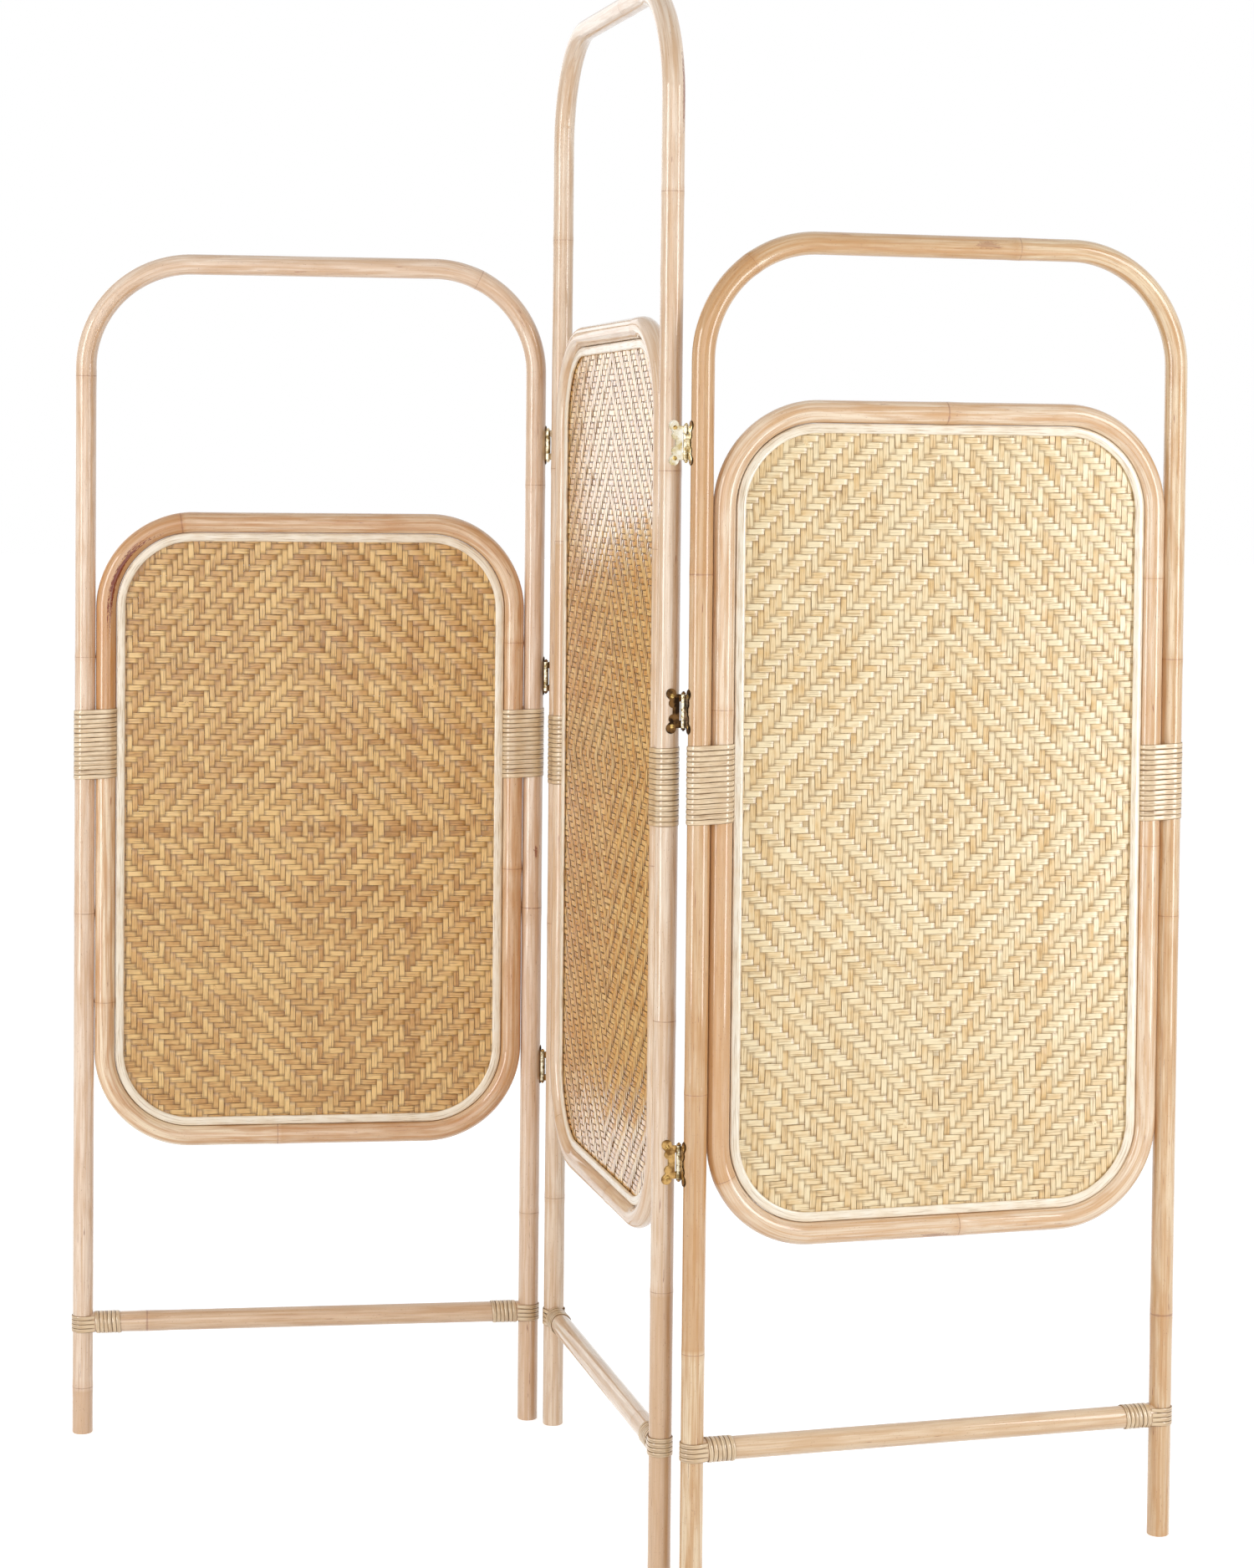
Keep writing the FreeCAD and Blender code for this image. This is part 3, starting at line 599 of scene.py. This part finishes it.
def winding_tree():
    """One peel wound in even turns round an outline, up the Z axis, with a hand's small unevenness."""
    add, given = new_tree("wound_peel", "Bend steps, Turns, Samples",
                          "Bend radius, Pitch, Width, Thickness, Unevenness, Tone")
    count = add(MATH, [given["Turns"], given["Samples"], 1], operation="MULTIPLY_ADD")
    line = add("GeometryNodeCurvePrimitiveLine", {"End": (0, 0, 1)})
    points = add("GeometryNodeResampleCurve", {"Curve": line, "Count": count}, mode="COUNT")
    turn = add(MATH, [add("GeometryNodeInputIndex"), given["Samples"]], operation="DIVIDE")
    part = add(MATH, [turn], operation="FRACT")
    place = add("GeometryNodeSampleCurve", {"Curves": bent_path(add, given), "Factor": part},
                mode="FACTOR").outputs["Position"]
    turns_up = add(MATH, [given["Turns"], -0.5, turn], operation="MULTIPLY_ADD")
    rise = add(COMBINE, {"Z": add(MATH, [turns_up, given["Pitch"]], operation="MULTIPLY")})
    spot = add(VECTOR_MATH, [place, rise], operation="ADD")
    coil_place = add(VECTOR_MATH, [place, coil_rates], operation="MULTIPLY")
    coil_place = add(VECTOR_MATH, [coil_place, add(COMBINE, {"Z": turn})], operation="ADD")
    noise = add(NOISE, {"Vector": coil_place, "Scale": 1, "Detail": 0}).outputs["Color"]
    wander = add(VECTOR_MATH, [noise, (0.5, 0.5, 0.5)], operation="SUBTRACT")
    wander = add(VECTOR_MATH, {0: wander, "Scale": given["Unevenness"]}, operation="SCALE")
    spot = add(VECTOR_MATH, [spot, wander], operation="ADD")
    wound = add("GeometryNodeSetPosition", {"Geometry": points, "Position": spot})
    level = add("GeometryNodeSetCurveNormal", [wound], mode="Z_UP")
    section = strip_section(add, given, sides=12, squareness=1)
    return end_tree(add, swept_strip(add, level, section, given), given)


def screw_tree():
    """A slotted dome head stands on each point and looks along X, its slot turned by chance."""
    add, given = new_tree("screw_heads", "Seed", "Head, Dome, Slot")
    radius = add(MATH, [given["Head"], 0.5], operation="MULTIPLY")
    ball = add("GeometryNodeMeshUVSphere", {"Segments": 20, "Rings": 10, "Radius": radius})
    flat = add(COMBINE, [add(MATH, [given["Dome"], radius], operation="DIVIDE"), 1, 1])
    dome = add(TRANSFORM, {"Geometry": ball, "Scale": flat})

    # The bar that cuts the slot is longer than the head, and leaves a quarter of the dome under it
    bar_height = add(MATH, [given["Dome"], 2], operation="MULTIPLY")
    bar_length = add(MATH, [given["Head"], 1.1], operation="MULTIPLY")
    bar_rise = add(MATH, [given["Dome"], 1.25], operation="MULTIPLY")
    bar = add("GeometryNodeMeshCube", {"Size": add(COMBINE, [bar_height, given["Slot"], bar_length])})
    bar = add(TRANSFORM, {"Geometry": bar, "Translation": add(COMBINE, [bar_rise])})
    head = add("GeometryNodeMeshBoolean", {"Mesh 1": dome, "Mesh 2": bar}, operation="DIFFERENCE")
    spin = add("FunctionNodeRandomValue", {2: 0, 3: math.pi, "Seed": given["Seed"]}).outputs[1]
    placed = add("GeometryNodeInstanceOnPoints",
                 {"Points": given["Geometry"], "Instance": head, "Rotation": add(COMBINE, [spin])})
    return end_tree(add, placed, given)


bent_pole = pole_tree()
woven_strips = weave_tree()
flat_strip = strip_tree("flat_strip", True)
standing_strip = strip_tree("standing_strip", False)
wound_peel = winding_tree()
screw_heads = screw_tree()


# Objects and their places. A leaf stands on the floor with X along it, Y to its back and Z up

def linked(name, mesh):
    piece = bpy.data.objects.new(name, mesh)
    bpy.context.scene.collection.objects.link(piece)
    return piece


def drawn(name, paths, closed=False):
    """An object whose mesh is one or more paths through some points."""
    points, edges = [], []
    for path in paths:
        first = len(points)
        points += path
        edges += [(number, number + 1) for number in range(first, len(points) - 1)]
        if closed:
            edges.append((len(points) - 1, first))
    mesh = bpy.data.meshes.new(name)
    mesh.from_pydata(points, edges, [])
    return linked(name, mesh)


def grown(piece, tree, material, rim=0, **values):
    """Runs a tree on a piece and keeps its result as a plain mesh, with a bevel at sharp rims."""
    values["material"] = material
    modifier = piece.modifiers.new(tree.name, "NODES")
    modifier.node_group = tree
    for item in tree.interface.items_tree:
        label = item.name.lower().replace(" ", "_")
        if item.in_out == "INPUT" and label in values:
            decimal = item.socket_type == "NodeSocketFloat"
            modifier[item.identifier] = float(values[label]) if decimal else values[label]
    if rim:
        bevel = piece.modifiers.new("rim", "BEVEL")
        bevel.width = rim
        bevel.segments = 3
        bevel.angle_limit = math.radians(60)
    path = piece.data
    graph = bpy.context.evaluated_depsgraph_get()
    mesh = bpy.data.meshes.new_from_object(piece.evaluated_get(graph), preserve_all_data_layers=True,
                                           depsgraph=graph)
    piece.modifiers.clear()
    piece.data = mesh
    bpy.data.meshes.remove(path)
    mesh.name = piece.name
    for slot in reversed(range(len(mesh.materials))):
        if mesh.materials[slot] is None:
            mesh.materials.pop(index=slot)
    return piece


def leaf_matrix(leaf):
    """From a leaf on its own to its place in the screen."""
    low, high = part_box(leaf.name + "_rail")
    centre = (Vector(low) + Vector(high)) / 2
    centre.z = 0
    return Matrix.Translation(centre) @ Matrix.Rotation(math.radians(leaf.turn), 4, "Z")


def finished(piece, leaf, node, place=Matrix.Identity(4)):
    """Moves a piece to its place in its leaf. It rides with the leaf and stands in for a CAD node, which
    it hides."""
    piece.data.transform(leaf_matrix(leaf) @ place)
    if place.determinant() < 0:
        piece.data.flip_normals()
    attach(piece, leaf.name)
    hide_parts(node)


# From a drawing with X to the right, Y up and Z towards the viewer to a leaf seen from its front
raised = Matrix.Rotation(math.radians(90), 4, "X")


# The poles

def pole(leaf, name, part, node, points, closed=False, bend_radius=0, rim=0):
    cane = canes[leaf.name, part]
    piece = drawn("%s_%s" % (leaf.name, name), [points], closed)
    grown(piece, bent_pole, rattan_pole("%s_%s_rattan" % (leaf.name, part), cane), rim,
          bend_radius=bend_radius, bend_steps=bend_steps, radius=pole_radius, step=pole_step,
          sides=pole_sides, joint_spacing=joint_spacing, joint_swell=joint_swell,
          joint_length=joint_length, start=cane.start)
    finished(piece, leaf, "%s_%s" % (leaf.name, node), raised)


def frame_pole(leaf):
    top = leaf.height - pole_radius
    points = [(half_pitch, 0, 0), (half_pitch, top, 0), (-half_pitch, top, 0), (-half_pitch, 0, 0)]
    pole(leaf, "bent_frame", "frame", "frame_pole", points, bend_radius=arch_bend_radius,
         rim=foot_chamfer)


def upright_outline(half_width, bottom, top, start):
    """The corners of an upright outline, after a start on its left side."""
    return [(-half_width, start, 0), (-half_width, bottom, 0), (half_width, bottom, 0),
            (half_width, top, 0), (-half_width, top, 0)]


def hoop(leaf):
    points = upright_outline(hoop_half_pitch, leaf.hoop_underside + pole_radius,
                             leaf.hoop_top - pole_radius, leaf.binding_heights[0])
    pole(leaf, "bent_hoop", "hoop", "hoop", points, closed=True, bend_radius=hoop_bend_radius)


def rail(leaf):
    reach = half_pitch - rail_end
    pole(leaf, "straight_rail", "rail", "rail", [(-reach, rail_height, 0), (reach, rail_height, 0)])


# The woven panels and their beads

# The strips' width, and the palest and the darkest tone of the upright strips and of the level strips.
# The spread within each is the strips' own tone. The shift between upright and level strips is painted
# light, for how light falls on strips running each way
panel_strips = {
    "left_leaf": (7 * mm, (0, 0.8), (0.1, 0.85)),
    "middle_leaf": (6.7 * mm, (0, 0.8), (0.2, 0.9)),
    "right_leaf": (7 * mm, (0.1, 0.65), (0, 0.5)),
}


def woven_panel(leaf):
    """Upright and level strips. Their ends lie under the middle of the bead."""
    covered = pole_radius + panel_gap + bead_width / 2
    half_width = hoop_half_pitch - covered
    half_height = (leaf.hoop_top - leaf.hoop_underside) / 2 - pole_radius - covered
    middle = Matrix.Translation((0, 0, (leaf.hoop_top + leaf.hoop_underside) / 2)) @ raised
    width, upright_tones, level_tones = panel_strips[leaf.name]
    for label, side, turn, (palest, darkest), half_length, half_breadth in (
            ("upright", 1, 0, upright_tones, half_height, half_width),
            ("level", -1, math.pi / 2, level_tones, half_width, half_height)):
        reach, crossing_reach = (math.ceil((half - strip_pitch) / strip_pitch)
                                 for half in (half_breadth, half_length))
        piece = drawn("%s_%s_strips" % (leaf.name, label), [[(0, 0, 0)]])
        grown(piece, woven_strips, weave_materials[leaf.name], strips=2 * reach + 1,
              crossings=2 * crossing_reach + 3, pitch=strip_pitch, width=width,
              thickness=strip_thickness, lift=strip_lift, start=leaf.weave_start, side=side,
              half_length=half_length, half_breadth=half_breadth,
              corner_radius=hoop_bend_radius - covered, turn=turn, palest=palest, darkest=darkest,
              seed=weave_seed)
        finished(piece, leaf, leaf.name + "_woven_panel", middle)


def bead(leaf, face):
    inset = pole_radius + panel_gap + bead_width / 2
    low, high = leaf.hoop_underside + pole_radius + inset, leaf.hoop_top - pole_radius - inset
    points = upright_outline(hoop_half_pitch - inset, low, high, leaf.binding_heights[0])
    side = "front" if face == FRONT else "back"
    piece = drawn("%s_%s_cane_bead" % (leaf.name, side), [points], True)
    grown(piece, flat_strip, bead_material, bend_radius=hoop_bend_radius - inset,
          bend_steps=bend_steps, step=bead_step, width=bead_width, thickness=bead_thickness,
          tone=bead_tone)
    lift = Matrix.Translation((0, face * (panel_thickness + bead_thickness) / 2, 0))
    finished(piece, leaf, "%s_%s_bead" % (leaf.name, side), lift @ raised)


# The wound peel

def outline_round(spread, dip):
    """An outline round two poles, which dips between them, after the middle of its back side."""
    half = spread / 2 + peel_reach
    return [(0, peel_reach - dip, 0), (-half, peel_reach, 0), (-half, -peel_reach, 0),
            (0, -peel_reach + dip, 0), (half, -peel_reach, 0), (half, peel_reach, 0)]


def wound(leaf, name, winding, outline, node, place):
    piece = drawn("%s_%s" % (leaf.name, name), [outline], True)
    grown(piece, wound_peel, peel_material, bend_radius=peel_reach, bend_steps=peel_bend_steps,
          thickness=peel_thickness + peel_crown, samples=turn_samples, **winding._asdict())
    finished(piece, leaf, "%s_%s" % (leaf.name, node), place)


def bindings(leaf):
    outline = outline_round(half_pitch - hoop_half_pitch, valley_depth)
    for side, leg, height in zip(("left", "right"), (LEFT_LEG, RIGHT_LEG), leaf.binding_heights):
        place = Matrix.Translation((leg * (half_pitch + hoop_half_pitch) / 2, 0, height))
        wound(leaf, side + "_binding", binding, outline, "bindings", place)


def rail_windings(leaf):
    wound_length = lashing.turns * lashing.pitch + lashing.width
    middle = half_pitch - pole_radius - 2 * strap_gap - wound_length / 2
    for side, leg in (("left", LEFT_LEG), ("right", RIGHT_LEG)):
        place = Matrix.Translation((leg * middle, 0, rail_height)) @ Matrix.Rotation(math.pi / 2, 4, "Y")
        wound(leaf, side + "_rail_winding", lashing, outline_round(0, 0), "rail_lashings", place)


def strap_path(leg, rise):
    """Round the outside of a leg, with both ends tucked under the winding on the rail."""
    tuck = math.sqrt((pole_radius - peel_seat) ** 2 - rise ** 2)
    plan = [(strap_end, -tuck), (strap_shoulder, -peel_reach), (-peel_reach, -peel_reach),
            (-peel_reach, peel_reach), (strap_shoulder, peel_reach), (strap_end, tuck)]
    return [(leg * (half_pitch - x), y, rail_height + rise) for x, y in plan]


def straps(leaf):
    rises = [(number - (strap_count - 1) / 2) * lashing.pitch for number in range(strap_count)]
    paths = [strap_path(leg, rise) for leg in (LEFT_LEG, RIGHT_LEG) for rise in rises]
    piece = drawn(leaf.name + "_leg_straps", paths)
    grown(piece, standing_strip, peel_material, bend_radius=peel_reach, bend_steps=peel_bend_steps,
          step=strap_step, width=lashing.width, thickness=peel_thickness + peel_crown,
          tone=lashing.tone)
    finished(piece, leaf, leaf.name + "_rail_lashings")


# The hinges. A hinge is drawn with its pin on Z, and its plate on the -X side towards +Y

def revolved(mesh, profile, closed=False, sides=32, finish=0):
    """Turns a profile of radii and heights round the Z axis."""
    rings = []
    for radius, height in profile:
        if radius == 0:
            rings.append([mesh.verts.new((0, 0, height))] * sides)
            continue
        angles = [2 * math.pi * number / sides for number in range(sides)]
        rings.append([mesh.verts.new((radius * math.cos(angle), radius * math.sin(angle), height))
                      for angle in angles])
    following = rings[1:] + rings[:1] if closed else rings[1:]
    for low, high in zip(rings, following):
        for number in range(sides):
            corners = (low[number - 1], low[number], high[number], high[number - 1])
            mesh.faces.new(list(dict.fromkeys(corners))).material_index = finish


def solid(name, mesh, materials):
    """A piece from a bmesh, smooth but for its sharp edges."""
    bmesh.ops.recalc_face_normals(mesh, faces=mesh.faces)
    for face in mesh.faces:
        face.smooth = True
    data = bpy.data.meshes.new(name)
    mesh.to_mesh(data)
    mesh.free()
    data.set_sharp_from_angle(angle=sharp_angle)
    for material in materials:
        data.materials.append(material)
    return linked(name, data)


def arc(reach, rise, radius, start, end, steps):
    angles = [math.radians(start + (end - start) * step / steps) for step in range(steps + 1)]
    return [(reach + radius * math.cos(angle), rise + radius * math.sin(angle)) for angle in angles]


def plate_outline(knuckles):
    """A butterfly's edge from its waist over the top, down the barrel and back, as Y and Z."""
    wing = arc(lobe_reach, lobe_rise, lobe_radius, start=-80, end=40, steps=8)
    wing += arc(ear_reach, ear_rise, ear_radius, start=-40, end=184, steps=18)
    near, far = middle_knuckle_length / 2, barrel_half
    if knuckles == "middle":
        side = [(knuckle_room, far), (knuckle_room, near), (0, near)]
    else:
        side = [(0, far), (0, near + knuckle_gap), (knuckle_room, near + knuckle_gap)]
    upper = wing + side
    return upper + [(y, -z) for y, z in reversed(upper)]


def knuckle_spans(knuckles):
    near = middle_knuckle_length / 2
    if knuckles == "middle":
        return [(-near, near)]
    return [(near + knuckle_gap, barrel_half), (-barrel_half, -near - knuckle_gap)]


def hinge_plate(name, knuckles, materials):
    """A plate with its own knuckles. Its materials are those of its faces, its barrel and its rims."""
    mesh = bmesh.new()
    corners = [mesh.verts.new((-plate_gap / 2, y, z)) for y, z in plate_outline(knuckles)]
    face = mesh.faces.new(corners)
    made = bmesh.ops.extrude_face_region(mesh, geom=[face])["geom"]
    moved = [item for item in made if isinstance(item, bmesh.types.BMVert)]
    bmesh.ops.translate(mesh, verts=moved, vec=(-plate_thickness, 0, 0))
    rims = [edge for edge in mesh.edges if abs(edge.verts[0].co.x - edge.verts[1].co.x) < 0.1 * mm]
    bmesh.ops.bevel(mesh, geom=rims, offset=plate_rim, segments=2, affect="EDGES", clamp_overlap=True)
    for face in mesh.faces:
        face.normal_update()
        face.material_index = 0 if abs(face.normal.x) > 0.99 else 2
    for low, high in knuckle_spans(knuckles):
        side = barrel_radius - barrel_rim
        revolved(mesh, [(pin_radius, low), (side, low), (barrel_radius, low + barrel_rim),
                        (barrel_radius, high - barrel_rim), (side, high), (pin_radius, high)],
                 closed=True, finish=1)
    return solid(name, mesh, materials)


def hinge_pin(name, material):
    """A pin with a small turned bud at each end."""
    half = barrel_half + bud_gap
    upper = [(pin_radius, half)]
    upper += [(bud_radius * radius, half + bud_length * height) for radius, height in bud_profile]
    mesh = bmesh.new()
    revolved(mesh, [(radius, -height) for radius, height in reversed(upper)] + upper, sides=24)
    return solid(name, mesh, [material])


def hung(side, height):
    """From a hinge's own drawing to its leg, mirrored for left legs and for back faces."""
    corner = (side.leg * (half_pitch + axis_reach), side.face * axis_offset, height)
    return Matrix.Translation(corner) @ Matrix.Diagonal((side.leg, -side.face, 1, 1))


def hinge(line, sides, level, height):
    metal = metal_materials[level]
    for side in sides:
        node = "%s_%s_plate_on_%s" % (level, line, side.leaf)
        piece = hinge_plate(node + "_dressed", side.knuckles, [metal, barrel_material, rim_metal])
        finished(piece, leaves[side.leaf], node, hung(side, height))
        if side.knuckles == "ends":
            node = "%s_%s_pin" % (level, line)
            piece = hinge_pin(node + "_dressed", metal)
            finished(piece, leaves[side.leaf], node, hung(side, height))


def hinge_screws(line, side):
    points = [(-plate_gap / 2, axis_offset - screw_offset, height + way * screw_rise)
              for height in hinge_heights.values() for way in (-1, 1)]
    node = "%s_screws_in_%s" % (line, side.leaf)
    piece = drawn(node + "_dressed", [[point] for point in points])
    grown(piece, screw_heads, screw_brass, head=screw_head, dome=screw_dome, slot=screw_slot,
          seed=screw_seed)
    piece.data.shade_smooth()
    piece.data.set_sharp_from_angle(angle=sharp_angle)
    finished(piece, leaves[side.leaf], node, hung(side, 0))


for leaf in leaves.values():
    frame_pole(leaf)
    hoop(leaf)
    rail(leaf)
    woven_panel(leaf)
    bead(leaf, FRONT)
    bead(leaf, BACK)
    bindings(leaf)
    rail_windings(leaf)
    straps(leaf)
    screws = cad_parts[leaf.name + "_joint_screws"].data
    screws.materials.clear()
    screws.materials.append(screw_steel)

for line, sides in hinge_lines.items():
    for level, height in hinge_heights.items():
        hinge(line, sides, level, height)
    for side in sides:
        hinge_screws(line, side)


# The floor, the light and the camera

floor_reach = 40
floor_glow = 0.62
room_light = 0.43
aim_height = 0.95

# Each lamp's azimuth from the front in degrees, its distance, its height, its size and its power
softboxes = {
    "right_softbox": (54, 3.2, 1.3, (0.8, 2.4), 38),
    "left_softbox": (-54, 3.2, 1.3, (0.8, 2.4), 38),
    "front_softbox": (-8, 4.4, 1.6, (2.6, 2.6), 30),
    "back_softbox": (-154, 4, 1.95, (1.6, 1.9), 6),
}

# The camera, with its turns in radians
camera_place = (-0.0128, -3.9235, 1.2442)
camera_yaw, camera_pitch, camera_roll = 0.0102, 0.0372, -0.0097
camera_lens = 74.88
camera_shift = -0.12447


def seen_rays(add):
    """One for rays from the camera, a mirror or glass, and nothing for rays that carry light."""
    rays = add("ShaderNodeLightPath").outputs
    seen = add(MATH, [rays["Is Camera Ray"], rays["Is Glossy Ray"]], operation="MAXIMUM")
    return add(MATH, [seen, rays["Is Transmission Ray"]], operation="MAXIMUM")


def floor():
    """A plain white floor. It glows a little where it is seen, and keeps the shadows."""
    corners = [(x * floor_reach, y * floor_reach, 0) for x, y in ((-1, -1), (1, -1), (1, 1), (-1, 1))]
    mesh = bpy.data.meshes.new("floor")
    mesh.from_pydata(corners, [], [(0, 1, 2, 3)])
    piece = linked("floor", mesh)
    material, add, shader = new_material("white_floor", {
        "Base Color": colour("#F4F4F4"), "Roughness": 0.9, "Specular IOR Level": 0.1,
        "Emission Color": (1, 1, 1, 1)})
    feed(shader, {"Emission Strength": add(MATH, [seen_rays(add), floor_glow], operation="MULTIPLY")})
    mesh.materials.append(material)


def room():
    """White all round: full white where it is seen, and softer where it lights the screen."""
    world = bpy.data.worlds.new("white_room")
    bpy.context.scene.world = world
    world.use_nodes = True
    add = functools.partial(add_node, world.node_tree)
    strength = add(MAP_RANGE, [seen_rays(add), 0, 1, room_light, 1])
    feed(world.node_tree.nodes["Background"], {"Color": (1, 1, 1, 1), "Strength": strength})


def softbox(name, azimuth, distance, height, size, power):
    """A soft light at an azimuth from the front, facing the screen."""
    light = bpy.data.lights.new(name, "AREA")
    light.shape = "RECTANGLE"
    light.size, light.size_y = size
    light.energy = power
    piece = linked(name, light)
    angle = math.radians(azimuth)
    piece.location = (distance * math.sin(angle), -distance * math.cos(angle), height)
    aim = Vector((0, 0, aim_height)) - piece.location
    piece.rotation_euler = aim.to_track_quat("-Z", "Y").to_euler()


def camera():
    data = bpy.data.cameras.new("camera")
    data.lens = camera_lens
    data.sensor_width = 36
    data.shift_y = camera_shift
    piece = linked("camera", data)
    ahead = Vector((math.sin(camera_yaw) * math.cos(camera_pitch),
                    math.cos(camera_yaw) * math.cos(camera_pitch), -math.sin(camera_pitch)))
    level = Vector((math.cos(camera_yaw), -math.sin(camera_yaw), 0))
    below = ahead.cross(level)
    right = math.cos(camera_roll) * level + math.sin(camera_roll) * below
    down = math.cos(camera_roll) * below - math.sin(camera_roll) * level
    axes = Matrix((right, -down, -ahead)).transposed()
    piece.matrix_world = Matrix.Translation(camera_place) @ axes.to_4x4()
    bpy.context.scene.camera = piece


floor()
room()
for name, plan in softboxes.items():
    softbox(name, *plan)
camera()
bpy.context.scene.view_settings.view_transform = "Standard"
